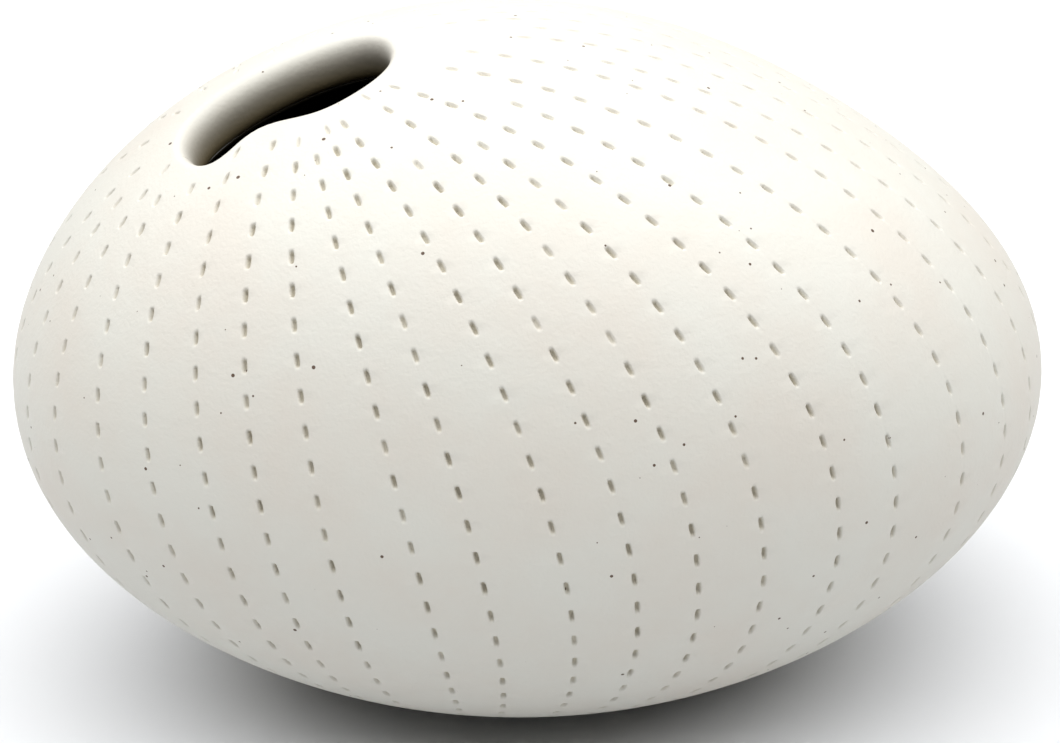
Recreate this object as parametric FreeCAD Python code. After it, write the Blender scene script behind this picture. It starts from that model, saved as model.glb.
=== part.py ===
import FreeCAD, Part
import math
import os

# Slotted porcelain pebble for holding flower stems.
# Millimetres, +Z up. The origin is the centre of the flat foot, on the surface it stands on.
# +X runs along the pebble's long axis, and the slot lies on the -X side of the dome.
# The pebble is worked out about its own middle and moved up onto its foot at the end.

# ---- driving dimensions ----
HALF_LENGTH = 49.5
HALF_DEPTH = 41.8
HALF_HEIGHT = 32.8
WALL = 4.2
FOOT_GROUND_OFF = 1.3
GIRTH_ABOVE_FOOT = 30.0

# Slow swells that turn the plain ellipsoid into a worn pebble. Each is a share of the radius.
LEAN = -0.045
DOME_CROWN = 0.013
HIGH_SIDE = -0.036
END_FLATTEN = -0.013
THREE_CORNERED = -0.032
SHOULDER_LEAN = -0.013
GIRTH_FLATTEN = -0.019
DOME_CORNERED = -0.025

# The slot, drawn in its own sloping plane: along the slope, and across it.
SLOT_X = -25.1
SLOT_Y = -1.9
SLOT_SLOPE = 22.0
SLOT_HALF_LENGTH = 11.4
SLOT_HALF_WIDTH = 7.6
SLOT_SKEW = 1.35
SLOT_SQUARENESS = 0.03
BULGE_REACH = 2.6
BULGE_ALONG = -3.9
BULGE_WIDTH = 4.2
LIP_NEAR = 1.0
LIP_FAR = 2.2
LIP_ENDS = 1.3
LIP_DEPTH = 2.2
INNER_EDGE = 0.9

# The joint between the two halves, and the liner glaze.
SLIP_WIDTH = 2.0
SLIP_HEIGHT = 0.6
GLAZE = 0.3

# ---- how finely the curves are sampled ----
AROUND = 56
LOWER_STEPS = 8
UPPER_STEPS = 9
LIP_STEPS = 5

SLOPE = math.radians(SLOT_SLOPE)
ALONG_SLOT = FreeCAD.Vector(math.cos(SLOPE), 0, math.sin(SLOPE))
ACROSS_SLOT = FreeCAD.Vector(0, 1, 0)
OUT_OF_SLOT = FreeCAD.Vector(-math.sin(SLOPE), 0, math.cos(SLOPE))
UP = FreeCAD.Vector(0, 0, 1)


# ---- the pebble's skin ----
def swell(d):
    """Radius of the worn pebble over the plain ellipsoid's, in the unit direction d."""
    x, y, z = d.x, d.y, d.z
    return (1 + LEAN * x * z
            + DOME_CROWN * z * (5 * z * z - 3) / 2
            + HIGH_SIDE * x * (5 * z * z - 1) / 2
            + END_FLATTEN * z * (x * x - y * y)
            + THREE_CORNERED * x * (x * x - 3 * y * y)
            + SHOULDER_LEAN * x * z * (7 * z * z - 3) / 2
            + GIRTH_FLATTEN * (x * x - y * y) * (7 * z * z - 1) / 2
            + DOME_CORNERED * z * x * (x * x - 3 * y * y))


def inside(point, inset):
    """Whether a point lies inside the skin that is set in by inset."""
    p = FreeCAD.Vector(point.x / (HALF_LENGTH - inset),
                       point.y / (HALF_DEPTH - inset),
                       point.z / (HALF_HEIGHT - inset))
    radius = p.Length
    return radius < 1e-9 or radius < swell(p * (1 / radius))


def bisect(holds, low, high):
    """The value between low and high where holds(value) turns from true to false."""
    for _ in range(45):
        middle = (low + high) / 2
        if holds(middle):
            low = middle
        else:
            high = middle
    return low


def on_skin(start, direction, inset, low=0.0, high=160.0):
    """Point where the line from start along direction leaves the skin."""
    reach = bisect(lambda t: inside(start + direction * t, inset), low, high)
    return start + direction * reach


FOOT_POLE = on_skin(FreeCAD.Vector(), UP * -1, 0.0)
FOOT_Z = FOOT_POLE.z + FOOT_GROUND_OFF
GIRTH_Z = FOOT_Z + GIRTH_ABOVE_FOOT
SLOT_CENTRE = on_skin(FreeCAD.Vector(SLOT_X, SLOT_Y, 0), UP, 0.0)


# ---- the slot ----
def slot_outline(around):
    """The outer edge of the lip, as lengths along and across the slot's plane.

    A long oval with squared ends, skewed a little, with one soft bulge pushed into its near side.
    """
    c, s = math.cos(around), math.sin(around)
    along = SLOT_HALF_LENGTH * (c - SLOT_SQUARENESS * math.cos(3 * around)) / (1 - SLOT_SQUARENESS)
    across = SLOT_HALF_WIDTH * (s + SLOT_SQUARENESS * math.sin(3 * around)) / (1 - SLOT_SQUARENESS)
    across += SLOT_SKEW * c
    if s < 0:
        across += BULGE_REACH * math.exp(-((along - BULGE_ALONG) / BULGE_WIDTH) ** 2)
    return along, across


def slot_inward(around):
    """Unit direction in the slot's plane from the lip's outer edge towards the opening."""
    step = 0.05
    a0, w0 = slot_outline(around - step)
    a1, w1 = slot_outline(around + step)
    length = math.hypot(a1 - a0, w1 - w0)
    return -(w1 - w0) / length, (a1 - a0) / length


def lip_radius(around):
    """The lip is crisp on the near (-Y) side, soft on the far side and between the two at its ends."""
    side = LIP_FAR if math.sin(around) > 0 else LIP_NEAR
    return LIP_ENDS + (side - LIP_ENDS) * math.sin(around) ** 2


def over_slot(around, inwards, inset):
    """Point of the skin over the slot's outline, moved in towards the opening."""
    along, across = slot_outline(around)
    in_along, in_across = slot_inward(around)
    base = SLOT_CENTRE + ALONG_SLOT * (along + in_along * inwards)
    base = base + ACROSS_SLOT * (across + in_across * inwards)
    return on_skin(base, OUT_OF_SLOT, inset, -20.0, 20.0)


def lip_round(around, share):
    """The lip's rounded section, from the outer skin (0) to the throat's wall (1)."""
    step = 0.1
    start = over_slot(around, 0.0, 0.0)
    rise = (start - over_slot(around, -step, 0.0)).dot(OUT_OF_SLOT) / step
    in_along, in_across = slot_inward(around)
    inward = ALONG_SLOT * in_along + ACROSS_SLOT * in_across + OUT_OF_SLOT * rise
    turn = share * math.pi / 2
    drop = OUT_OF_SLOT * (LIP_DEPTH * (1 - math.cos(turn)))
    return start + inward * (lip_radius(around) * math.sin(turn)) - drop


def inner_round(around, share):
    """The inner edge's rounded section, from the inner skin (0) to the throat's wall (1)."""
    turn = share * math.pi / 2
    flare = INNER_EDGE * (1 - math.sin(turn))
    start = over_slot(around, lip_radius(around) - flare, WALL)
    return start + OUT_OF_SLOT * (INNER_EDGE * (1 - math.cos(turn)))


# ---- the meridians, from the slot to the foot ----
def girth_point(around, inset):
    """Place on the skin at the height of the joint, in the direction around."""
    outward = FreeCAD.Vector(math.cos(around), math.sin(around), 0)
    return on_skin(FreeCAD.Vector(0, 0, GIRTH_Z), outward, inset)


class Meridian:
    """The skin's curve in the plane through a place on the slot's edge, the girth and the foot."""

    def __init__(self, around, inset):
        self.inset = inset
        self.floor_z = FOOT_Z if inset == 0 else FOOT_Z + inset
        if inset == 0:
            top = over_slot(around, 0.0, 0.0)
        else:
            top = over_slot(around, lip_radius(around) - INNER_EDGE, inset)
        girth = girth_point(around, inset)
        self.middle = (top + FOOT_POLE) * 0.5
        self.to_top = (top - self.middle).normalize()
        across = girth - self.middle
        self.to_side = (across - self.to_top * across.dot(self.to_top)).normalize()
        self.girth_turn = math.atan2(across.dot(self.to_side), across.dot(self.to_top))
        self.foot_turn = bisect(lambda t: self.at(t).z > self.floor_z, self.girth_turn, math.pi)

    def at(self, turn):
        direction = self.to_top * math.cos(turn) + self.to_side * math.sin(turn)
        return on_skin(self.middle, direction, self.inset)

    def lower(self, share):
        """From the foot (0) to the girth (1)."""
        return self.at(self.foot_turn + (self.girth_turn - self.foot_turn) * share)

    def upper(self, share):
        """From the girth (0) to the slot (1)."""
        return self.at(self.girth_turn * (1 - share))


TURNS = [2 * math.pi * (i + 0.5) / AROUND for i in range(AROUND)]


# ---- curves, faces and solids ----
def ring(points):
    """Smooth closed curve through points that are evenly numbered round the body."""
    curve = Part.BSplineCurve()
    numbers = [float(i) for i in range(len(points) + 1)]
    curve.interpolate(Points=points, PeriodicFlag=True, Parameters=numbers)
    return Part.Wire([curve.toShape()])


def skin_rings(inset):
    """Rings of the skin that is set in by inset: foot to girth, and girth to slot."""
    meridians = [Meridian(around, inset) for around in TURNS]
    low = [ring([m.lower(i / LOWER_STEPS) for m in meridians]) for i in range(LOWER_STEPS + 1)]
    high = [ring([m.upper(i / UPPER_STEPS) for m in meridians]) for i in range(1, UPPER_STEPS + 1)]
    return low, [low[-1]] + high


def loft(rings):
    return Part.makeLoft(rings, False, False, False).Faces


def straight_wall(ring_a, ring_b):
    return Part.makeLoft([ring_a, ring_b], False, True, False).Faces


def flat_face(*rings):
    return Part.makeFace(list(rings), "Part::FaceMakerBullseye")


def solid_of(faces):
    shell = Part.makeShell(faces)
    shell.sewShape()
    solid = Part.makeSolid(shell)
    if solid.Volume < 0:
        solid.reverse()
    return solid


def girth_ring(inset):
    """Level curve of the skin at the joint between the halves."""
    return ring([girth_point(around, inset) for around in TURNS])


outer_low, outer_high = skin_rings(0.0)
inner_low, inner_high = skin_rings(WALL)
glaze_low, glaze_high = skin_rings(WALL + GLAZE)
lip = [ring([lip_round(t, i / LIP_STEPS) for t in TURNS]) for i in range(1, LIP_STEPS + 1)]
edge = [ring([inner_round(t, 1 - i / LIP_STEPS) for t in TURNS]) for i in range(LIP_STEPS)]


# ---- the sub-parts ----
def slip_joint():
    """Ring of joining slip that fills the scored groove in the rims of the two halves."""
    base = flat_face(girth_ring((WALL - SLIP_WIDTH) / 2), girth_ring((WALL + SLIP_WIDTH) / 2))
    base.translate(UP * (-SLIP_HEIGHT / 2))
    return base.extrude(UP * SLIP_HEIGHT)


def lower_shell():
    """Bowl-shaped half with the flat ground foot."""
    faces = loft(outer_low) + loft(inner_low)
    faces.append(flat_face(outer_low[0]))
    faces.append(flat_face(inner_low[0]))
    faces.append(flat_face(outer_low[-1], inner_low[-1]))
    return solid_of(faces)


def upper_shell():
    """Domed half with the slot, its lip and its throat."""
    faces = loft(outer_high) + loft([outer_high[-1]] + lip)
    faces += straight_wall(lip[-1], edge[0])
    faces += loft(edge + [inner_high[-1]]) + loft(inner_high)
    faces.append(flat_face(outer_high[0], inner_high[0]))
    return solid_of(faces)


def glaze_lining():
    """Thin clear skin of glaze over the whole inside, up to the throat."""
    faces = loft(inner_low) + loft(inner_high) + loft(glaze_low) + loft(glaze_high)
    faces.append(flat_face(inner_low[0]))
    faces.append(flat_face(glaze_low[0]))
    faces += straight_wall(inner_high[-1], glaze_high[-1])
    return solid_of(faces)


slip = slip_joint()
parts = {
    "lower_shell": lower_shell().cut(slip),
    "upper_shell": upper_shell().cut(slip),
    "slip_joint": slip,
    "glaze_lining": glaze_lining(),
}

os.makedirs("parts", exist_ok=True)
for name, shape in parts.items():
    shape.translate(UP * -FOOT_Z)
    shape.exportStep("parts/" + name + ".step")
    box = shape.BoundBox
    print(name, "valid", shape.isValid(), "solids", len(shape.Solids), "cm3", round(shape.Volume / 1000, 2),
          "x", round(box.XMin, 2), round(box.XMax, 2), "y", round(box.YMin, 2), round(box.YMax, 2),
          "z", round(box.ZMin, 2), round(box.ZMax, 2))
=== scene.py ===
# %% [markdown]
# # A slotted porcelain pebble
# The object is a closed, hollow pebble of matt white porcelain. A long slot in its dome holds flower
# stems, and rows of small pressed dashes run from the slot to the foot. This file builds its looks in
# short steps round a fixed CAD frame. Shapes are worked out as numpy arrays in millimetres and go into
# Blender in metres, in the frame's own place.

# %% Load the frame
import bpy
import math
import numpy as np
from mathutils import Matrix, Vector


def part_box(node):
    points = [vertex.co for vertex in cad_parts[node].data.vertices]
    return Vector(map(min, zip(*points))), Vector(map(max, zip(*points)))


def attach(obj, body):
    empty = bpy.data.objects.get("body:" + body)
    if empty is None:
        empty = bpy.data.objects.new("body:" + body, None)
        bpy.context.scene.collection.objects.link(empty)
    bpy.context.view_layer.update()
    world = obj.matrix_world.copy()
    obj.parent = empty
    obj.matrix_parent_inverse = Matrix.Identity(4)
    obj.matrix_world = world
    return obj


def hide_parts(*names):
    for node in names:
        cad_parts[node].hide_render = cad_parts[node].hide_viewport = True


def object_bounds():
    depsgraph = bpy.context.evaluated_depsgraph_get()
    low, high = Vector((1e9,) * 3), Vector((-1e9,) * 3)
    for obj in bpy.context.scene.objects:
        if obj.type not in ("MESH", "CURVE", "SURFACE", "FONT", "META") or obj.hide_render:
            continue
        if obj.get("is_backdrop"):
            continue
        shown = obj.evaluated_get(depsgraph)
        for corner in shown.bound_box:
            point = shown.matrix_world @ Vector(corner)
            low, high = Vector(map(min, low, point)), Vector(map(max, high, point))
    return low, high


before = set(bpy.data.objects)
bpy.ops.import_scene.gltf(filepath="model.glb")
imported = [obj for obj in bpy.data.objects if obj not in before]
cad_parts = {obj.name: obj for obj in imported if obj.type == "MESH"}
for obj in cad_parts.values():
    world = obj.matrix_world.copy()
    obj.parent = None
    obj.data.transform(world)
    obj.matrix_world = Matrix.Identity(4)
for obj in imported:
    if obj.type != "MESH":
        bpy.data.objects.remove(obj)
cad_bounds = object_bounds()
MM = 0.001
GIRTH_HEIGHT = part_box("lower_shell")[1].z / MM
cad_box = [round(v / MM, 1) for corner in cad_bounds for v in corner]
print("CAD box in mm", cad_box, "girth at", round(GIRTH_HEIGHT, 2))

# %% [markdown]
# ## The camera
# The view comes first, because it decides where detail matters. A pebble seen close up with a short
# lens would look swollen, so the camera stands back and uses a long lens, and looks down a little.

# %% The camera
VIEW_TURN = math.radians(-18)
VIEW_DOWN = math.radians(24)
VIEW_DISTANCE = 295 * MM
VIEW_CENTRE = Vector((-0.6, 0.2, 28.7)) * MM
LENS = 102.4

look = Vector((-math.sin(VIEW_TURN) * math.cos(VIEW_DOWN),
               math.cos(VIEW_TURN) * math.cos(VIEW_DOWN),
               -math.sin(VIEW_DOWN)))
camera_data = bpy.data.cameras.new("studio_camera")
camera_data.lens = LENS
camera_data.sensor_width = 36
camera_data.clip_start = 0.01
camera = bpy.data.objects.new("studio_camera", camera_data)
camera.location = VIEW_CENTRE - look * VIEW_DISTANCE
camera.rotation_euler = look.to_track_quat("-Z", "Y").to_euler()
bpy.context.scene.collection.objects.link(camera)
bpy.context.scene.camera = camera
print("camera at mm", [round(v / MM) for v in camera.location])

# %% [markdown]
# ## The worn pebble
# A river pebble is close to an ellipsoid, but no part of it is quite one. It could be sculpted by hand,
# yet then the dashes would have nothing exact to follow. So the skin is one formula: an ellipsoid whose
# radius swells and shrinks by a few percent, slowly, over the directions of space. The inner wall is
# the same formula with shorter half axes. The swells are written out one by one, because each has a
# shape that can be seen: a lean, a flatter end, a shoulder.

# %% The skin's formula
HALF_AXES = np.array([49.5, 41.8, 32.8])


def unit(v):
    """Each vector divided by its length."""
    return v / np.linalg.norm(v, axis=-1, keepdims=True)


def swell(d):
    """Radius over the plain ellipsoid's in the unit direction d: one plus eight slow swells."""
    x, y, z = d[..., 0], d[..., 1], d[..., 2]
    lean = -0.045 * x * z
    crown = 0.013 * z * (5 * z * z - 3) / 2
    high_side = -0.036 * x * (5 * z * z - 1) / 2
    flat_ends = -0.013 * z * (x * x - y * y)
    three_cornered = -0.032 * x * (x * x - 3 * y * y)
    shoulder = -0.013 * x * z * (7 * z * z - 3) / 2
    girth = -0.019 * (x * x - y * y) * (7 * z * z - 1) / 2
    dome = -0.025 * z * x * (x * x - 3 * y * y)
    return 1 + lean + crown + high_side + flat_ends + three_cornered + shoulder + girth + dome


def outside(p, inset=0.0):
    """How far out of the skin a point is, as a share of its radius: below zero is inside."""
    q = p / (HALF_AXES - inset)
    radius = np.maximum(np.linalg.norm(q, axis=-1, keepdims=True), 1e-9)
    return radius[..., 0] - swell(q / radius)


print("size of the plain ellipsoid in mm", 2 * HALF_AXES)

# %% [markdown]
# ## Points on the skin
# The formula only says whether a point is inside or outside. To put a point on the skin, a line is drawn
# from somewhere inside and the gap in which it comes out is halved until it is far smaller than a grain
# of clay. A modeller's shrinkwrap does the same job, but this keeps every point where it is asked for.

# %% From a line to a point on the skin
FOOT_GROUND_OFF = 1.3
UP = np.array([0.0, 0.0, 1.0])


def halve(stays_low, low, high):
    """Where stays_low(value) turns false between low and high, by halving the gap 32 times."""
    for _ in range(32):
        middle = (low + high) / 2
        keep = stays_low(middle)
        low, high = np.where(keep, middle, low), np.where(keep, high, middle)
    return low


def on_skin(start, direction, inset=0.0, low=0.0, high=160.0):
    """start plus direction times the reach at which the line leaves the skin."""
    shape = np.broadcast_shapes(start.shape, direction.shape)[:-1]
    reach = halve(lambda t: outside(start + direction * t[..., None], inset) < 0,
                  np.full(shape, low), np.full(shape, high))
    return start + direction * reach[..., None]


def skin_normal(p):
    """Outward direction of the skin: the slope of outside() along X, Y and Z, made unit length."""
    step = 0.02
    slopes = [outside(p + e) - outside(p - e) for e in np.eye(3) * step]
    return unit(np.stack(slopes, axis=-1))


FOOT_POLE = on_skin(np.zeros(3), -UP)
FOOT_Z = FOOT_POLE[2] + FOOT_GROUND_OFF
GIRTH_Z = FOOT_Z + GIRTH_HEIGHT
print("pebble middle stands", round(-FOOT_Z, 2), "mm above the foot")

# %% [markdown]
# ## The slot
# The opening is a long oval cut through the sloping shoulder while the clay was soft. One side was
# pressed in a little by a finger, which leaves a wave in the edge. A boolean cut would leave a hard,
# ragged edge, so the slot is drawn in its own sloping plane, and its outline is dropped on to the skin.

# %% The slot's outline
SLOT_MIDDLE = (-25.1, -1.9)
SLOT_SLOPE = math.radians(22)
SLOT_HALF_LENGTH = 11.4
SLOT_HALF_WIDTH = 7.6
SLOT_SQUARENESS = 0.03
SLOT_SKEW = 1.35
BULGE_REACH, BULGE_ALONG, BULGE_WIDTH = 2.6, -3.9, 4.2

ALONG_SLOT = np.array([math.cos(SLOT_SLOPE), 0, math.sin(SLOT_SLOPE)])
ACROSS_SLOT = np.array([0.0, 1.0, 0.0])
OUT_OF_SLOT = np.array([-math.sin(SLOT_SLOPE), 0, math.cos(SLOT_SLOPE)])
SLOT_CENTRE = on_skin(np.array([*SLOT_MIDDLE, 0.0]), UP)


def slot_outline(turn):
    """Lengths along and across the slot's plane: a skewed oval with one Gaussian bulge."""
    c, s = np.cos(turn), np.sin(turn)
    along = SLOT_HALF_LENGTH * (c - SLOT_SQUARENESS * np.cos(3 * turn)) / (1 - SLOT_SQUARENESS)
    across = SLOT_HALF_WIDTH * (s + SLOT_SQUARENESS * np.sin(3 * turn)) / (1 - SLOT_SQUARENESS)
    across = across + SLOT_SKEW * c
    bulge = BULGE_REACH * np.exp(-((along - BULGE_ALONG) / BULGE_WIDTH) ** 2)
    return along, across + np.where(s < 0, bulge, 0)


def slot_inward(turn):
    """Unit direction in the slot's plane from the lip's outer edge towards the opening."""
    (a0, w0), (a1, w1) = slot_outline(turn - 0.05), slot_outline(turn + 0.05)
    return unit(np.stack([w0 - w1, a1 - a0], axis=-1))


def over_slot(turn, inwards=0.0, inset=0.0):
    """Point of the skin over the outline, moved in towards the opening."""
    along, across = slot_outline(turn)
    step = slot_inward(turn) * np.asarray(inwards + np.zeros_like(turn))[..., None]
    base = SLOT_CENTRE + (along + step[..., 0])[..., None] * ALONG_SLOT
    base = base + (across + step[..., 1])[..., None] * ACROSS_SLOT
    return on_skin(base, np.broadcast_to(OUT_OF_SLOT, base.shape), inset, -20.0, 20.0)


print("slot middle mm", SLOT_CENTRE.round(1))

# %% [markdown]
# ## The lip and the throat
# A sponge rounded the cut edge while it was wet: crisply on the near side, softly on the far side. Under
# the lip the throat is as thick as the wall, and the inner edge has a small round of its own. A bevel
# would give one radius all the way, so each round is a quarter ellipse whose size changes along the slot.

# %% The lip and the inner edge
WALL = 4.2
LIP_NEAR, LIP_FAR, LIP_ENDS, LIP_DEPTH = 1.0, 2.2, 1.3, 2.2
INNER_EDGE = 0.9


def lip_radius(turn):
    """Rounding of the lip: its ends' radius, blended to the near or far side's by sine squared."""
    side = np.where(np.sin(turn) > 0, LIP_FAR, LIP_NEAR)
    return LIP_ENDS + (side - LIP_ENDS) * np.sin(turn) ** 2


def lip_round(turn, share):
    """A quarter ellipse that leaves the skin along its slope (0) and ends down the throat (1)."""
    start, step = over_slot(turn), 0.1
    rise = ((start - over_slot(turn, -step)) @ OUT_OF_SLOT / step)[..., None]
    inward = slot_inward(turn)
    heading = inward[..., :1] * ALONG_SLOT + inward[..., 1:] * ACROSS_SLOT + rise * OUT_OF_SLOT
    bend = share * math.pi / 2
    reach = lip_radius(turn)[..., None] * math.sin(bend)
    return start + heading * reach - OUT_OF_SLOT * (LIP_DEPTH * (1 - math.cos(bend)))


def inner_round(turn, share, inset=WALL):
    """The inner edge's quarter round, from the inner wall (0) to the throat (1)."""
    bend = share * math.pi / 2
    flare = INNER_EDGE * (1 - math.sin(bend))
    edge = over_slot(turn, lip_radius(turn) - flare, inset)
    return edge + OUT_OF_SLOT * (INNER_EDGE * (1 - math.cos(bend)))


print("lip radius mm from", LIP_NEAR, "near to", LIP_FAR, "far, wall", WALL)

# %% [markdown]
# ## Where the rows of dashes run
# A toothed wheel was rolled down the leather-hard clay, row after row, from the slot to the foot. Every
# row lies in a plane through three places: one on the slot's lip, one on the girth, and one under the
# foot. The front rows are set out one by one, because the potter judged their gaps by eye. The back
# rows could be anything, so they are spread evenly, as the front ones nearly are.

# %% Places of the rows on the lip and on the girth
FRONT_AT_LIP = (0, -1, -2, -5, -6.5, -8.5, -9.5, -10.5, -12, -13.5,
                -14.5, -15.5, -16, -18, -22, -26.5, -29.5, -31, -33, -34)
FRONT_AT_GIRTH = (-24, -34, -42.5, -51.5, -62.5, -70.5, -80.5, -89, -97, -105.5,
                  -115.5, -123, -133, -140, -146, -153, -160, -168, -175, -183)
ROWS = 41
FOOT_POINT = np.array([-9.7, -4.1, -31.0])


def spread_on(front, whole_turn):
    """Adds evenly spaced rows after the front ones, and the first row again one whole turn on."""
    gap = (front[0] + whole_turn - front[-1]) / (ROWS - len(front) + 1)
    return np.concatenate([front, front[-1] + gap * np.arange(1, ROWS - len(front) + 2)])


def girth_point(azimuth, inset=0.0):
    """Point of the skin at the joint's height, in the direction azimuth."""
    outward = np.stack([np.cos(azimuth), np.sin(azimuth), 0 * azimuth], axis=-1)
    return on_skin(np.array([0, 0, GIRTH_Z]), outward, inset)


circle = np.linspace(-3 * math.pi, math.pi, 2881)
lip_steps = np.linalg.norm(np.diff(over_slot(circle), axis=0), axis=1)
lip_length = np.concatenate([[0], np.cumsum(lip_steps)])
lip_length = lip_length - np.interp(0, circle, lip_length)
lip_round_trip = (lip_length[-1] - lip_length[0]) / 2
row_girth = np.radians(spread_on(FRONT_AT_GIRTH, -360))
row_slot = np.interp(spread_on(FRONT_AT_LIP, -lip_round_trip), lip_length, circle)
print("lip is", round(lip_round_trip, 1), "mm round; rows at the slot in degrees",
      np.degrees(row_slot).round().astype(int))

# %% [markdown]
# ## Meridians
# Each row, and every mesh column between two rows, follows a meridian: the curve where the skin meets
# the plane through a place on the lip, a place on the girth and the foot point. A place on it is an
# angle about the plane's middle point, zero at the lip. Splines drawn by hand would drift off the skin,
# and these can't.

# %% A meridian's plane
def plane_of(lip, girth):
    """A meridian plane's middle point and its two unit directions, to the lip and to the side."""
    middle = (lip + FOOT_POINT) / 2
    to_lip = unit(lip - middle)
    across = girth - middle
    to_side = unit(across - np.sum(across * to_lip, axis=-1, keepdims=True) * to_lip)
    return middle, to_lip, to_side


def on_meridian(plane, angle, inset=0.0):
    """Where the ray from the plane's middle at this angle from the lip leaves the skin."""
    middle, to_lip, to_side = plane
    direction = to_lip * np.cos(angle)[..., None] + to_side * np.sin(angle)[..., None]
    return on_skin(middle, direction, inset)


print("meridians meet near", FOOT_POINT, "mm, under the foot")

# %% [markdown]
# ## Tables round the pebble
# Lip, girth and foot are worked out a dozen times between each row and the next, and kept in tables over
# the row number. After that, any number of columns between two rows costs nothing more to set out.

# %% Meridian tables
PER_ROW = 12
row_number = np.arange(ROWS * PER_ROW + 1) / PER_ROW
slot_turn = np.interp(row_number, np.arange(ROWS + 1), row_slot)
girth_azimuth = np.interp(row_number, np.arange(ROWS + 1), row_girth)


def read_table(at_row, table):
    """Linear reading of a table over row numbers, which close on themselves."""
    at_row = np.mod(at_row, ROWS)
    if table.ndim == 1:
        return np.interp(at_row, row_number, table)
    return np.stack([np.interp(at_row, row_number, column) for column in table.T], axis=-1)


def meridian_tables(inset):
    """Lip and girth points, and the angles at which each meridian passes the girth and the foot's
    height, found by halving."""
    reach = 0.0 if inset == 0 else lip_radius(slot_turn) - INNER_EDGE
    lip = over_slot(slot_turn, reach, inset)
    girth = girth_point(girth_azimuth, inset)
    plane = plane_of(lip, girth)
    middle, to_lip, to_side = plane
    out = girth - middle
    at_girth = np.arctan2(np.sum(out * to_side, axis=-1), np.sum(out * to_lip, axis=-1))
    floor = FOOT_Z + inset
    at_foot = halve(lambda a: on_meridian(plane, a, inset)[..., 2] > floor,
                    at_girth, np.full_like(at_girth, math.pi))
    return {"lip": lip, "girth": girth, "at_girth": at_girth, "at_foot": at_foot, "inset": inset}


outer = meridian_tables(0.0)
for place in ("at_girth", "at_foot"):
    print("angles from the lip", place, np.degrees(outer[place][::5 * PER_ROW]).round().astype(int))

# %% [markdown]
# ## Where the dashes lie
# The wheel's teeth are evenly spaced, so a row is a start and a pitch. Rows start at different
# distances from the lip, long ones and short ones in turn. A picture of dashes would look flat from the
# side, so each dash is a real dent, and its force varies a little, as a hand's does.

# %% The dashes of each row
PITCH = 3.08
FIRST_DASH = (12, 19.6, 7, 5.6, 13.3, 2.3, 14.1, 1.2, 11.8, 3.1,
              2.9, 6.2, 3.4, 3.1, 1.4, 2.4, 4.2, 1.4, 7, 4.4)
BACK_DASH = (14.2, 4.6, 12.9, 3.4)
DASH_HALF_LENGTH = 0.72
DASH_HALF_WIDTH = 0.27
DASH_DEPTH = 0.5
FORCE_SPREAD, FORCE_LEAST, FORCE_MOST, FORCE_AT_ENDS = 0.15, 0.6, 1.25, 0.72
FOOT_MARGIN = 5.0
SAMPLES = 500

each_row = np.arange(ROWS)
row_plane = plane_of(read_table(each_row, outer["lip"]), read_table(each_row, outer["girth"]))
row_at_girth = read_table(each_row, outer["at_girth"])
row_at_foot = read_table(each_row, outer["at_foot"])
row_angles = row_at_foot[:, None] * np.linspace(0, 1, SAMPLES)
row_points = on_meridian([part[:, None] for part in row_plane], row_angles)
steps = np.linalg.norm(np.diff(row_points, axis=1), axis=2)
row_lengths = np.concatenate([np.zeros((ROWS, 1)), np.cumsum(steps, axis=1)], axis=1)
back_dash = tuple(BACK_DASH[i % len(BACK_DASH)] for i in range(len(FIRST_DASH), ROWS))
first_dash = np.array(FIRST_DASH + back_dash)
dash_centres = [np.arange(first_dash[i], row_lengths[i, -1] - FOOT_MARGIN, PITCH) for i in each_row]
rng = np.random.default_rng(7)
dash_force = [np.clip(1 + FORCE_SPREAD * rng.standard_normal(len(c)), FORCE_LEAST, FORCE_MOST)
              for c in dash_centres]
for force in dash_force:
    force[[0, -1]] *= FORCE_AT_ENDS
counts = [len(c) for c in dash_centres]
print("dashes", sum(counts), "in rows of", min(counts), "to", max(counts))

# %% [markdown]
# ## Mesh rows that meet the dashes
# An even grid fine enough for the dents would need millions of faces. So the mesh rows are drawn together
# over each dash and spread out between dashes, and a row falls just beyond each dash's two ends, which
# keeps the shading of a dent inside it.

# %% How far along each mesh row lies
DASH_MARGIN = 0.16
ROWS_OVER_DASH = 4.0
SHORTEST_SPAN = 0.1
UPPER_ROWS, LOWER_ROWS = 204, 196


def mesh_lengths(i, start, end, count):
    """Lengths of count + 1 mesh rows from start to end: rows are shared out by length, and a length over
    a dash counts ROWS_OVER_DASH times. The beat goes on up to the lip, so that neighbours don't shear."""
    centres = np.arange(first_dash[i] % PITCH, row_lengths[i, -1], PITCH)
    reach = DASH_HALF_LENGTH + DASH_MARGIN
    knots = np.sort(np.concatenate([centres - reach, centres + reach]))
    knots = knots[(knots > start + SHORTEST_SPAN) & (knots < end - SHORTEST_SPAN)]
    knots = np.concatenate([[start], knots, [end]])
    middles = (knots[1:] + knots[:-1]) / 2
    inside = np.abs(middles[:, None] - centres).min(axis=1) < reach
    weight = np.concatenate([[0], np.cumsum(np.diff(knots) * np.where(inside, ROWS_OVER_DASH, 1.0))])
    at_row = np.round(weight / weight[-1] * count)
    return np.interp(np.arange(count + 1), at_row, knots)


girth_lengths = np.array([np.interp(row_at_girth[i], row_angles[i], row_lengths[i]) for i in each_row])
upper_lengths = np.stack([mesh_lengths(i, 0, girth_lengths[i], UPPER_ROWS) for i in each_row])
lower_lengths = np.stack([mesh_lengths(i, girth_lengths[i], row_lengths[i, -1], LOWER_ROWS)
                          for i in each_row])
print("closest mesh rows mm", round(np.diff(upper_lengths).min(), 2))

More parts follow.
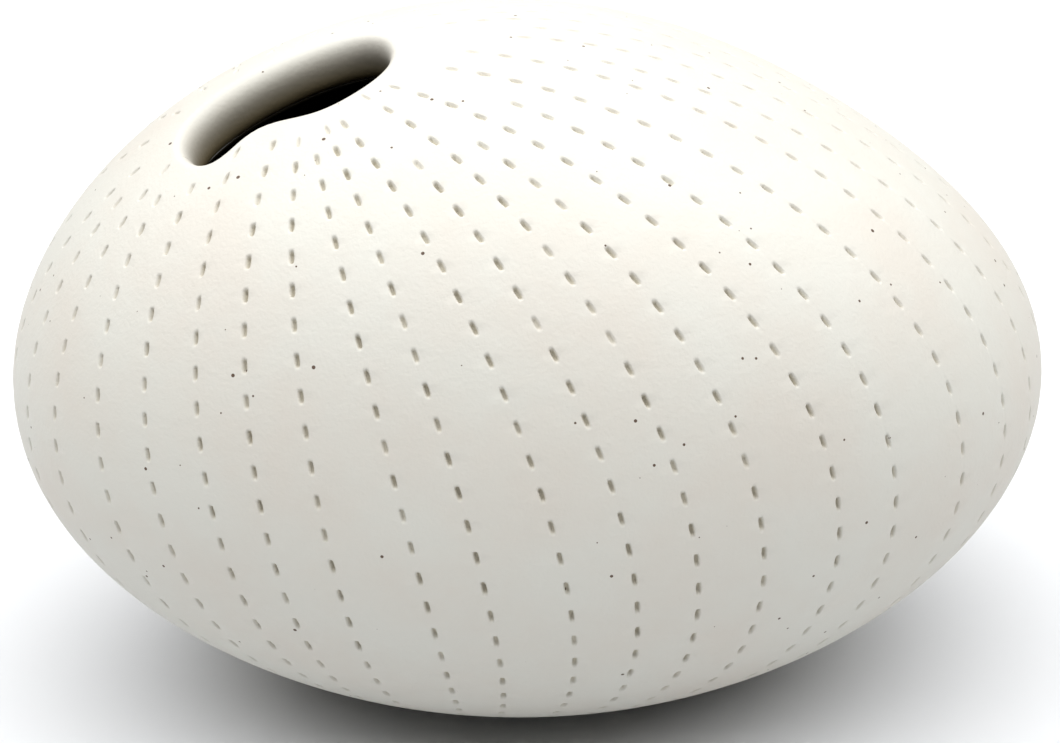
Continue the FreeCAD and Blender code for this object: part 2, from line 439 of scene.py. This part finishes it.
# %% [markdown]
# ## The grid that carries the dashes
# Seven mesh columns run along each row of dashes, close enough to draw a pit's walls and floor. Three
# more cross the plain clay to the next row. Near the slot the rows crowd together. There the seven draw
# in and the pits shrink with them, so the room between each row and the next is measured first.

# %% Room between the rows
SMALLEST_GAP = 0.2


def angles_at(lengths):
    """Angle about each row's plane at the given lengths along it, one table lookup a row."""
    return np.stack([np.interp(lengths[i], row_lengths[i], row_angles[i]) for i in each_row])


upper_share = angles_at(upper_lengths) / row_at_girth[:, None]
past_girth = angles_at(lower_lengths) - row_at_girth[:, None]
lower_share = past_girth / (row_at_foot - row_at_girth)[:, None]


def row_gaps(share, start, end):
    """Distance in mm from each row to the next at every mesh row, measured square to the row."""
    angle = start[:, None] + share * (end - start)[:, None]
    points = on_meridian([part[:, None] for part in row_plane], angle)
    along = unit(np.gradient(points, axis=1))
    to_next = np.roll(points, -1, axis=0) - points
    to_next = to_next - np.sum(to_next * along, axis=-1, keepdims=True) * along
    return np.maximum(np.linalg.norm(to_next, axis=-1), SMALLEST_GAP)


upper_gaps = row_gaps(upper_share, 0 * row_at_girth, row_at_girth)
lower_gaps = row_gaps(lower_share, row_at_girth, row_at_foot)
print("rows at the lip are", upper_gaps[:, 0].min().round(2), "mm or more apart, at the girth up to",
      upper_gaps[:, -1].max().round(1))

# %% [markdown]
# ## Pressing the dashes
# Each dash is a pit with steep sides, rounded ends and a soft floor. Every mesh point is moved in along
# the skin's own outward direction by the pit's depth there, which is nothing at all between the dashes.
# The same depth is kept as a mask, so that painted shade can darken the clay where it was pressed.

# %% Columns across the rows
ACROSS_PIT = np.array([-0.36, -0.24, -0.13, 0.0, 0.13, 0.24, 0.36])
ROOMY_GAP = 1.7
BETWEEN = np.array([0.25, 0.5, 0.75])
COLUMNS = ROWS * (len(ACROSS_PIT) + len(BETWEEN))
PIT_WALL = 0.5


def smooth(t):
    """Zero below 0, one above 1, and an even S between."""
    t = np.clip(t, 0, 1)
    return t * t * (3 - 2 * t)


def columns(share, gaps, lengths, start_name, end_name):
    """Points of the skin on the whole grid, their row numbers, and how deep each one is pressed in mm.
    A column's place is its row number plus its distance across over the gap. A pit's rim is where the
    cubes of the distances along and across, each over the dash's half size, add up to one."""
    size = np.minimum(1, np.minimum(gaps, np.roll(gaps, 1, axis=0)) / ROOMY_GAP)
    where, height, depth = [], [], []
    for i in each_row:
        last, after = (i - 1) % ROWS, (i + 1) % ROWS
        across = ACROSS_PIT[:, None]
        at_pit = i + across * size[i] / np.where(across < 0, gaps[last], gaps[i])
        edge, next_edge = ACROSS_PIT[-1] * size[[i, after]] / gaps[i]
        between = i + edge + (1 - edge - next_edge) * BETWEEN[:, None]
        where += [at_pit, between]
        height += [np.broadcast_to(share[i], at_pit.shape),
                   share[i] + (share[after] - share[i]) * BETWEEN[:, None]]
        nearest = np.abs(lengths[i][:, None] - dash_centres[i]).argmin(axis=1)
        along = (lengths[i] - dash_centres[i][nearest]) / DASH_HALF_LENGTH
        rim = (np.abs(across / DASH_HALF_WIDTH) ** 3 + np.abs(along) ** 3) ** (1 / 3)
        force = dash_force[i][nearest] * size[i]
        depth += [DASH_DEPTH * force * smooth((1 - rim) / PIT_WALL), 0 * between]
    where, height, depth = map(np.concatenate, (where, height, depth))
    plane = plane_of(read_table(where, outer["lip"]), read_table(where, outer["girth"]))
    start = 0 * where if start_name is None else read_table(where, outer[start_name])
    points = on_meridian(plane, start + height * (read_table(where, outer[end_name]) - start))
    return points - skin_normal(points) * depth[..., None], where, depth


print(COLUMNS, "columns, with a pit's wall", PIT_WALL, "of its half width")

# %% The pressed skin
upper_skin, upper_where, upper_depth = columns(upper_share, upper_gaps, upper_lengths, None, "at_girth")
lower_skin, lower_where, lower_depth = columns(lower_share, lower_gaps, lower_lengths,
                                               "at_girth", "at_foot")
upper_skin[:, -1, 2] = lower_skin[:, 0, 2] = GIRTH_Z
lower_skin[:, 0] = upper_skin[:, -1]
lower_skin[:, -1, 2] = FOOT_Z
print("grids of columns and rows", upper_skin.shape[:2], "above the girth and", lower_skin.shape[:2], "below")

# %% [markdown]
# ## From a grid to a mesh
# Every piece of the pebble is one grid of columns and rows, so its faces come from counting alone. A
# piece that ends in a point, as a bowl does, has a fan of triangles round a pole. The side that faces
# outwards is found from the sign of the piece's volume, so that no piece is inside out.

# %% Faces by counting
def grid_quads(columns, rows, close_rows=False):
    """Quads of a grid that closes across its columns: point number = column * rows + row."""
    c, r = np.arange(columns)[:, None], np.arange(rows if close_rows else rows - 1)
    right, down = (c + 1) % columns, (r + 1) % rows
    corners = [c * rows + r, right * rows + r, right * rows + down, c * rows + down]
    return np.stack(corners, axis=-1).reshape(-1, 4)


def pole_fan(columns, rows, pole, row, flip):
    """Triangles from a pole, numbered after the grid's points, to one row of the grid."""
    c = np.arange(columns)
    corners = [0 * c + columns * rows + pole, c * rows + row, (c + 1) % columns * rows + row]
    return np.stack(corners, axis=-1)[:, ::flip]


def volume_sign(points, faces, fans):
    """Sign of the piece's volume: the sum of a . (b x c) over its triangles."""
    a, b, c = (points[np.concatenate([faces[:, :3], faces[:, [0, 2, 3]], *fans])[:, k]] for k in range(3))
    return np.sign(np.sum(a * np.cross(b, c)))


print("a piece of the pebble is a grid of", COLUMNS, "columns")

# %% [markdown]
# ## Corners and masks
# Most of the pebble is shaded smooth, but the joint's rims are corners. A modifier could find corners by
# angle, and would also find the dents, so the edges are marked by their row. Masks are numbers kept on
# the points, which a material can read.

# %% A piece from its grid
INSIDE_FRAME = [0.9993, 0.9993, 1]  # the frame's flat facets cut its curves short, so the looks draw in


def mark_sharp_rows(mesh, columns, rows, sharp_rows):
    """Edges that run along these rows are shaded as corners. Other edges stay smooth."""
    ends = np.zeros(len(mesh.edges) * 2, int)
    mesh.edges.foreach_get("vertices", ends)
    row_of = np.where(ends < columns * rows, ends % rows, -1).reshape(-1, 2)
    sharp = (row_of[:, 0] == row_of[:, 1]) & np.isin(row_of[:, 0], sharp_rows)
    mesh.attributes.new("sharp_edge", "BOOLEAN", "EDGE").data.foreach_set("value", sharp)


def new_piece(name, grid, poles=(), close_rows=False, sharp_rows=(), **masks):
    """An object from a grid of points in mm, with a fan of triangles at each pole, faces turned outwards.
    Each mask is a grid of numbers from 0 to 1 that the piece's material can read."""
    columns, rows = grid.shape[:2]
    points = np.concatenate([grid.reshape(-1, 3), np.reshape(poles, (-1, 3))]) - [0, 0, FOOT_Z]
    points = points * INSIDE_FRAME
    faces = grid_quads(columns, rows, close_rows)
    ends = ((0, -1), (rows - 1, 1))[:len(poles)]
    fans = [pole_fan(columns, rows, pole, row, flip) for pole, (row, flip) in enumerate(ends)]
    if volume_sign(points, faces, fans) < 0:
        faces, fans = faces[:, ::-1], [fan[:, ::-1] for fan in fans]
    mesh = bpy.data.meshes.new(name)
    triangles = [face for fan in fans for face in fan.tolist()]
    mesh.from_pydata((points * MM).tolist(), [], faces.tolist() + triangles)
    mesh.shade_smooth()
    mark_sharp_rows(mesh, columns, rows, sharp_rows)
    for label, mask in masks.items():
        values = np.concatenate([mask.reshape(-1), np.zeros(len(poles))])
        mesh.attributes.new(label, "FLOAT", "POINT").data.foreach_set("value", values)
    piece = bpy.data.objects.new(name, mesh)
    bpy.context.scene.collection.objects.link(piece)
    print(name, 2 * len(faces) + len(triangles), "triangles, from", points.min(0).round(1), "to",
          points.max(0).round(1), "mm")
    return piece


print("looks drawn in by", round(100 * (1 - INSIDE_FRAME[0]), 2), "percent across")

# %% [markdown]
# ## The wall inside
# The pebble is hollow, and its wall is even. A Solidify modifier would copy the dents to the inside, where
# there are none, so the inner wall is worked out on the same meridians with the formula's shorter axes.

# %% The inner wall
WALL_ROWS = 18
inner = meridian_tables(WALL)
at_lip, at_girth = upper_where[:, 0], upper_where[:, -1]


def inner_wall(tables, from_row, to_row, shares, start_name, end_name):
    """The wall inside: columns drift evenly from one set of row numbers to another, down the meridians."""
    where = from_row[:, None] + (to_row - from_row)[:, None] * shares
    plane = plane_of(read_table(where, tables["lip"]), read_table(where, tables["girth"]))
    start = 0 * where if start_name is None else read_table(where, tables[start_name])
    angle = start + shares * (read_table(where, tables[end_name]) - start)
    return on_meridian(plane, angle, tables["inset"])


wall_shares = np.linspace(0, 1, WALL_ROWS)
inner_upper = inner_wall(inner, at_lip, at_girth, wall_shares, None, "at_girth")
inner_upper[:, -1, 2] = GIRTH_Z
inner_lower = inner_wall(inner, at_girth, lower_where[:, -1], wall_shares, "at_girth", "at_foot")
inner_lower[:, 0] = inner_upper[:, -1]
inner_pole = FOOT_POLE * [1, 1, 0] + [0, 0, FOOT_Z + WALL]
inner_lower[:, -1, 2] = inner_pole[2]
wall_at_girth = np.linalg.norm(inner_upper[:, -1] - upper_skin[:, -1], axis=1)
print("wall at the girth, with its dents, mm from", wall_at_girth.min().round(1))

# %% [markdown]
# ## The upper shell
# The upper half is a closed band: up the outside, over the lip, down the throat, along the inner wall and
# back through the joint at the girth. One band has no seam at the lip, where the light shows it most. A
# second mask says how deep inside the slot a point is, and paints shade there: the clay gets darker and
# warmer the deeper it lies, standing in for the shade of the slot.

# %% The upper shell
LIP_STEPS, THROAT_STEPS, EDGE_STEPS = 7, 3, 3
SHADE_ROWS = 11

lip_turn = read_table(at_lip, slot_turn)
lip_rings = [lip_round(lip_turn, k / LIP_STEPS) for k in range(1, LIP_STEPS + 1)]
edge_rings = [inner_round(lip_turn, k / EDGE_STEPS) for k in range(EDGE_STEPS, 0, -1)]
throat_rings = [lip_rings[-1] + (edge_rings[0] - lip_rings[-1]) * k / THROAT_STEPS
                for k in range(1, THROAT_STEPS)]
rings = np.stack(lip_rings + throat_rings + edge_rings, axis=1)
upper_grid = np.concatenate([upper_skin[:, ::-1], rings, inner_upper], axis=1)
hidden = upper_grid.shape[1] - upper_skin.shape[1]
# Painted shade: rows inside the slot are painted darker and warmer the deeper they lie, standing in for the
# slot's shade.
hollow_shade_share = np.concatenate([np.zeros(UPPER_ROWS + 1), smooth(np.arange(1, hidden + 1) / SHADE_ROWS)])
upper_shell = new_piece("upper_porcelain", upper_grid, close_rows=True,
                        sharp_rows=(0, upper_grid.shape[1] - 1),
                        pressed=np.pad(upper_depth[:, ::-1], ((0, 0), (0, hidden))) / DASH_DEPTH,
                        inside=np.broadcast_to(hollow_shade_share, upper_grid.shape[:2]))

# %% [markdown]
# ## The lower shell
# The lower half is a bowl: from a pole on its floor up the inner wall, over the joint, down the outside
# and in under the flat foot, where the pebble was ground so that it doesn't rock.

# %% The lower shell
FLOOR_RINGS = (0.75, 0.4, 0.1)
FOOT_RINGS = (0.05, 0.4, 0.75)


def towards(edge, pole, shares):
    """Rings shrinking from an edge ring to a pole, flat."""
    return edge[:, None] + (pole - edge)[:, None] * np.array(shares)[:, None]


outer_pole = FOOT_POLE * [1, 1, 0] + [0, 0, FOOT_Z]
floor_rings = towards(inner_lower[:, -1], inner_pole, FLOOR_RINGS)
foot_rings = towards(lower_skin[:, -1], outer_pole, FOOT_RINGS)
lower_grid = np.concatenate([floor_rings, inner_lower[:, ::-1], lower_skin, foot_rings], axis=1)
hidden = len(FLOOR_RINGS) + WALL_ROWS
# Painted shade: the inner wall and floor are painted wholly in the hollow's shade colour.
hollow_shade_share = np.concatenate([np.ones(hidden), np.zeros(lower_grid.shape[1] - hidden)])
lower_shell = new_piece("lower_porcelain", lower_grid, poles=(inner_pole, outer_pole),
                        sharp_rows=(hidden - 1, hidden),
                        pressed=np.pad(lower_depth, ((0, 0), (hidden, len(FOOT_RINGS)))) / DASH_DEPTH,
                        inside=np.broadcast_to(hollow_shade_share, lower_grid.shape[:2]))

# %% [markdown]
# ## The glaze inside
# Water stands in the pebble, so the inside is glazed: a glassy coat three tenths of a millimetre thick
# that follows the inner wall. It is a piece of its own, because its shine is nothing like the matt skin
# outside. The joining slip is a thin ring buried in the wall at the girth, so the frame's own ring is enough.

# %% The glaze lining and the joining slip
GLAZE = 0.3
LINING_ROWS = 26
coat = meridian_tables(WALL + GLAZE)
quarter_rows = np.arange(0, ROWS, 0.25)


def full_wall(tables, floor_z):
    """Both halves of an inner wall in one grid, from the slot's inner edge to its floor."""
    shares = np.linspace(0, 1, LINING_ROWS)
    top = inner_wall(tables, quarter_rows, quarter_rows, shares, None, "at_girth")
    bottom = inner_wall(tables, quarter_rows, quarter_rows, shares, "at_girth", "at_foot")
    bottom[:, -1, 2] = floor_z
    return np.concatenate([top, bottom[:, 1:]], axis=1)


coat_pole = inner_pole + [0, 0, GLAZE]
coat_face, coat_back = full_wall(coat, coat_pole[2]), full_wall(inner, inner_pole[2])
lining_grid = np.concatenate([towards(coat_face[:, -1], coat_pole, (0.7, 0.35)), coat_face[:, ::-1],
                              coat_back, towards(coat_back[:, -1], inner_pole, (0.35, 0.7))], axis=1)
lining = new_piece("inner_glaze", lining_grid, poles=(coat_pole, inner_pole))
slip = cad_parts["slip_joint"]
print("the glaze is", GLAZE, "mm thick; the slip is the frame's", slip.name)

# %% [markdown]
# ## Matt porcelain
# Unglazed porcelain is close to white, a little warm, and has a dull sheen with no reflections. Close
# up it has a fine grain, faint clouds of warmer white, and here and there a dark speck of iron. Painted
# textures would need a flat map of the pebble, so all three are noise in the object's own space. First
# come a few short helpers for node trees.

# %% Helpers for node trees
def new_group(name, inputs, output, socket_type):
    """An empty shader group with number inputs and one output, and its two end nodes."""
    group = bpy.data.node_groups.new(name, "ShaderNodeTree")
    for label, value in inputs.items():
        socket = group.interface.new_socket(label, in_out="INPUT", socket_type="NodeSocketFloat")
        socket.default_value = value
    group.interface.new_socket(output, in_out="OUTPUT", socket_type=socket_type)
    return group, group.nodes.new("NodeGroupInput"), group.nodes.new("NodeGroupOutput")


def add(tree, kind, operation=None, **values):
    """A node with its operation and its named input values set."""
    node = tree.nodes.new(kind)
    if operation:
        node.operation = operation
    for label, value in values.items():
        node.inputs[label.replace("_", " ")].default_value = value
    return node


def join(tree, *pairs):
    """Links, each from an output socket to an input socket."""
    for start, end in pairs:
        tree.links.new(start, end)


print("node helpers ready for Blender", bpy.app.version_string)

# %% [markdown]
# ## The clay's grain
# Fired clay is a little sandy to the touch. Its grain is far too fine to model, and it is on the porcelain
# and on the slip alike, so it is a shader group that gives a height to a Bump node in each material.

# %% The grain group
FINE_SHARE = 0.5


def grain_group():
    """Height of the clay's grain: a coarse noise plus a finer one at FINE_SHARE of its strength."""
    group, start, end = new_group("clay_grain", {"Fine": 2600.0, "Coarse": 420.0},
                                  "Height", "NodeSocketFloat")
    place = add(group, "ShaderNodeTexCoord")
    fine = add(group, "ShaderNodeTexNoise", Detail=2.0)
    coarse = add(group, "ShaderNodeTexNoise", Detail=3.0)
    total = add(group, "ShaderNodeMath", "MULTIPLY_ADD")
    total.inputs[1].default_value = FINE_SHARE
    join(group,
         (place.outputs["Object"], fine.inputs["Vector"]),
         (place.outputs["Object"], coarse.inputs["Vector"]),
         (start.outputs["Fine"], fine.inputs["Scale"]),
         (start.outputs["Coarse"], coarse.inputs["Scale"]),
         (fine.outputs["Fac"], total.inputs[0]),
         (coarse.outputs["Fac"], total.inputs[2]),
         (total.outputs[0], end.inputs["Height"]))
    return group


grain = grain_group()
print("shader group", grain.name)

# %% [markdown]
# ## Iron specks
# Iron in the clay burns to small dark dots. Dots could be scattered as tiny objects, but they lie in the
# clay, not on it. A cell pattern divides space into small cells, each with a random colour of its own. Its
# red picks the few cells that hold a speck, and its green sets the size of the speck.

# %% The speck group
def speck_group():
    """Mask of specks: cells with a random value above Rarity, inside a radius that varies as they do."""
    group, start, end = new_group("iron_specks", {"Scale": 800.0, "Rarity": 0.8, "Radius": 0.15}, "Mask",
                                  "NodeSocketFloat")
    place = add(group, "ShaderNodeTexCoord")
    cells = add(group, "ShaderNodeTexVoronoi")
    luck = add(group, "ShaderNodeSeparateColor")
    chosen = add(group, "ShaderNodeMath", "GREATER_THAN")
    size = add(group, "ShaderNodeMath", "MULTIPLY")
    near = add(group, "ShaderNodeMath", "LESS_THAN")
    mask = add(group, "ShaderNodeMath", "MULTIPLY")
    join(group,
         (place.outputs["Object"], cells.inputs["Vector"]),
         (start.outputs["Scale"], cells.inputs["Scale"]),
         (cells.outputs["Color"], luck.inputs["Color"]),
         (luck.outputs["Red"], chosen.inputs[0]),
         (start.outputs["Rarity"], chosen.inputs[1]),
         (luck.outputs["Green"], size.inputs[0]),
         (start.outputs["Radius"], size.inputs[1]),
         (cells.outputs["Distance"], near.inputs[0]),
         (size.outputs[0], near.inputs[1]),
         (chosen.outputs[0], mask.inputs[0]),
         (near.outputs[0], mask.inputs[1]),
         (mask.outputs[0], end.inputs["Mask"]))
    return group


specks = speck_group()
print("shader group", specks.name)

# %% [markdown]
# ## What every material needs
# Each finish is one Principled material. Colours are blended by masks, and the grain goes on as a bump.
# Numbers that are the same all over a finish are set on the shader itself.

# %% Helpers for materials
GRAIN_HEIGHT = 0.00009


def new_material(name, roughness, base=None):
    """A Principled material, with its tree and its Principled node."""
    material = bpy.data.materials.new(name)
    material.use_nodes = True
    shader = material.node_tree.nodes["Principled BSDF"]
    shader.inputs["Roughness"].default_value = roughness
    if base:
        shader.inputs["Base Color"].default_value = base
    return material, material.node_tree, shader


def blend_colours(tree, mask, first, second):
    """Mix of two colours, each a socket or a fixed colour, by a mask socket."""
    mix = tree.nodes.new("ShaderNodeMix")
    mix.data_type = "RGBA"
    for slot, colour in ((6, first), (7, second)):
        if isinstance(colour, bpy.types.NodeSocket):
            tree.links.new(colour, mix.inputs[slot])
        else:
            mix.inputs[slot].default_value = colour
    tree.links.new(mask, mix.inputs[0])
    return mix.outputs[2]


def grainy(tree, shader, strength):
    """Adds the clay's grain to a material as a bump of less than a tenth of a millimetre."""
    height = tree.nodes.new("ShaderNodeGroup")
    height.node_tree = grain
    bump = add(tree, "ShaderNodeBump", Strength=strength, Distance=GRAIN_HEIGHT)
    join(tree, (height.outputs["Height"], bump.inputs["Height"]),
         (bump.outputs["Normal"], shader.inputs["Normal"]))


print("the grain's height in mm", round(GRAIN_HEIGHT / MM, 3))

# %% [markdown]
# ## Matt porcelain
# Two clay whites drift into each other in faint clouds. Pressed clay is painted a little darker and warmer,
# as painted shade in the dashes, and the clay inside the slot and the hollow is painted a deep brown, as
# painted shade.

# %% The porcelain
CLAY = (0.59, 0.58, 0.53, 1)
CLAY_WARM = (0.585, 0.555, 0.50, 1)
# Painted shade: the next two colours darken the dents and the clay inside the slot and the hollow.
CLAY_PAINTED_PIT_SHADE = (0.49, 0.455, 0.37, 1)
CLAY_PAINTED_HOLLOW_SHADE = (0.10, 0.078, 0.038, 1)
IRON = (0.10, 0.065, 0.045, 1)

porcelain, tree, shader = new_material("matt_porcelain", 0.62)
place = add(tree, "ShaderNodeTexCoord")
clouds = add(tree, "ShaderNodeTexNoise", Scale=85.0, Detail=4.0, Roughness=0.6)
cloud_range = add(tree, "ShaderNodeMapRange", From_Min=0.38, From_Max=0.66)
speck = tree.nodes.new("ShaderNodeGroup")
speck.node_tree = specks
join(tree, (place.outputs["Object"], clouds.inputs["Vector"]),
     (clouds.outputs["Fac"], cloud_range.inputs["Value"]))
clay = blend_colours(tree, cloud_range.outputs["Result"], CLAY, CLAY_WARM)
# Painted shade: the pressed mask darkens the dents, and the inside mask darkens the slot and the hollow.
for mask, colour in (("pressed", CLAY_PAINTED_PIT_SHADE), ("inside", CLAY_PAINTED_HOLLOW_SHADE)):
    reader = add(tree, "ShaderNodeAttribute")
    reader.attribute_name = mask
    clay = blend_colours(tree, reader.outputs["Fac"], clay, colour)
tree.links.new(blend_colours(tree, speck.outputs["Mask"], clay, IRON), shader.inputs["Base Color"])
grainy(tree, shader, 0.7)
shader.inputs["Specular IOR Level"].default_value = 0.35
print("porcelain has", len(tree.nodes), "nodes")

# %% [markdown]
# ## Slip and liner glaze
# Joining slip is the same clay thinned with water, so it fires a shade whiter and rougher. The liner glaze
# is glassy. What shows of it is the dark of the hollow, so its colour is painted shade: a near-black brown
# under a clear coat, with noise for the way that a glaze pools.

# %% The slip and the glaze
SLIP_COLOUR = (0.74, 0.72, 0.68, 1)
# Painted shade: both glaze colours are near black, standing in for the dark of the hollow.
GLAZE_SHADE_THICK = (0.03, 0.025, 0.015, 1)
GLAZE_SHADE_THIN = (0.02, 0.016, 0.01, 1)

joining_slip, tree, shader = new_material("joining_slip", 0.8, SLIP_COLOUR)
grainy(tree, shader, 0.8)

liner_glaze, tree, shader = new_material("liner_glaze", 0.12)
shader.inputs["Coat Weight"].default_value = 0.6
place = add(tree, "ShaderNodeTexCoord")
pool = add(tree, "ShaderNodeTexNoise", Scale=60.0, Detail=2.0)
tree.links.new(place.outputs["Object"], pool.inputs["Vector"])
pooled_shade = blend_colours(tree, pool.outputs["Fac"], GLAZE_SHADE_THICK, GLAZE_SHADE_THIN)
tree.links.new(pooled_shade, shader.inputs["Base Color"])
print("glaze colours", GLAZE_SHADE_THICK[:3], GLAZE_SHADE_THIN[:3])

# %% [markdown]
# ## Each piece gets its finish
# A modelled piece takes the place of the frame's plain node, which is hidden, and rides on the root
# body, so the two models stay one object. The slip keeps the frame's own mesh.

# %% Finishes on the pieces
for piece, node, material, finish in ((upper_shell, "upper_shell", porcelain, "matt_porcelain"),
                                      (lower_shell, "lower_shell", porcelain, "matt_porcelain"),
                                      (lining, "glaze_lining", liner_glaze, "liner_glaze")):
    piece.data.materials.append(material)
    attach(piece, "root")
    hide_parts(node)
slip.data.materials.clear()
slip.data.materials.append(joining_slip)
print("materials", [m.name for m in (porcelain, joining_slip, liner_glaze)])

# %% [markdown]
# ## The studio
# A white sheet of paper under a large soft light. The paper is bright enough to lose itself in white,
# so the pebble is lit from above by the light and from below by the paper. One wide box overhead gives
# the short, soft shadow close under the belly, where a smaller one would throw it to a side.

# %% The paper
PAPER_HALF_SIDE = 2.5

scene = bpy.context.scene
scene.view_settings.view_transform = "Standard"
floor_mesh = bpy.data.meshes.new("paper")
corners = [(x * PAPER_HALF_SIDE, y * PAPER_HALF_SIDE, 0) for x, y in ((-1, -1), (1, -1), (1, 1), (-1, 1))]
floor_mesh.from_pydata(corners, [], [(0, 1, 2, 3)])
floor = bpy.data.objects.new("paper", floor_mesh)
scene.collection.objects.link(floor)
paper, tree, shader = new_material("paper", 0.9, (0.68, 0.69, 0.705, 1))
floor_mesh.materials.append(paper)
floor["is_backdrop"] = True
print("paper", 2 * PAPER_HALF_SIDE, "m square")

# %% The light and the surroundings
BOX_LENGTH, BOX_WIDTH, BOX_HEIGHT, BOX_POWER = 2.2, 1.4, 0.75, 30.0

world = bpy.data.worlds.new("studio")
world.use_nodes = True
sky = world.node_tree.nodes["Background"]
sky.inputs["Color"].default_value = (1.0, 1.0, 1.0, 1)
sky.inputs["Strength"].default_value = 0.05
scene.world = world

softbox = bpy.data.lights.new("softbox", "AREA")
softbox.shape = "RECTANGLE"
softbox.size, softbox.size_y = BOX_LENGTH, BOX_WIDTH
softbox.energy = BOX_POWER
light = bpy.data.objects.new("softbox", softbox)
light.location = (0, 0, BOX_HEIGHT)
light.rotation_euler = (0, 0, VIEW_TURN)
scene.collection.objects.link(light)

# %% [markdown]
# The looks' box and the fixed frame's box are both measured and printed. The looks must
# stay inside the fixed frame's box.

# %% Sizes
visual_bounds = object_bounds()
sizes = {"cad": [list(corner) for corner in cad_bounds],
         "visual": [list(corner) for corner in visual_bounds]}
for name, box in sizes.items():
    print(name, "box in mm", [round(v / MM, 2) for corner in box for v in corner])
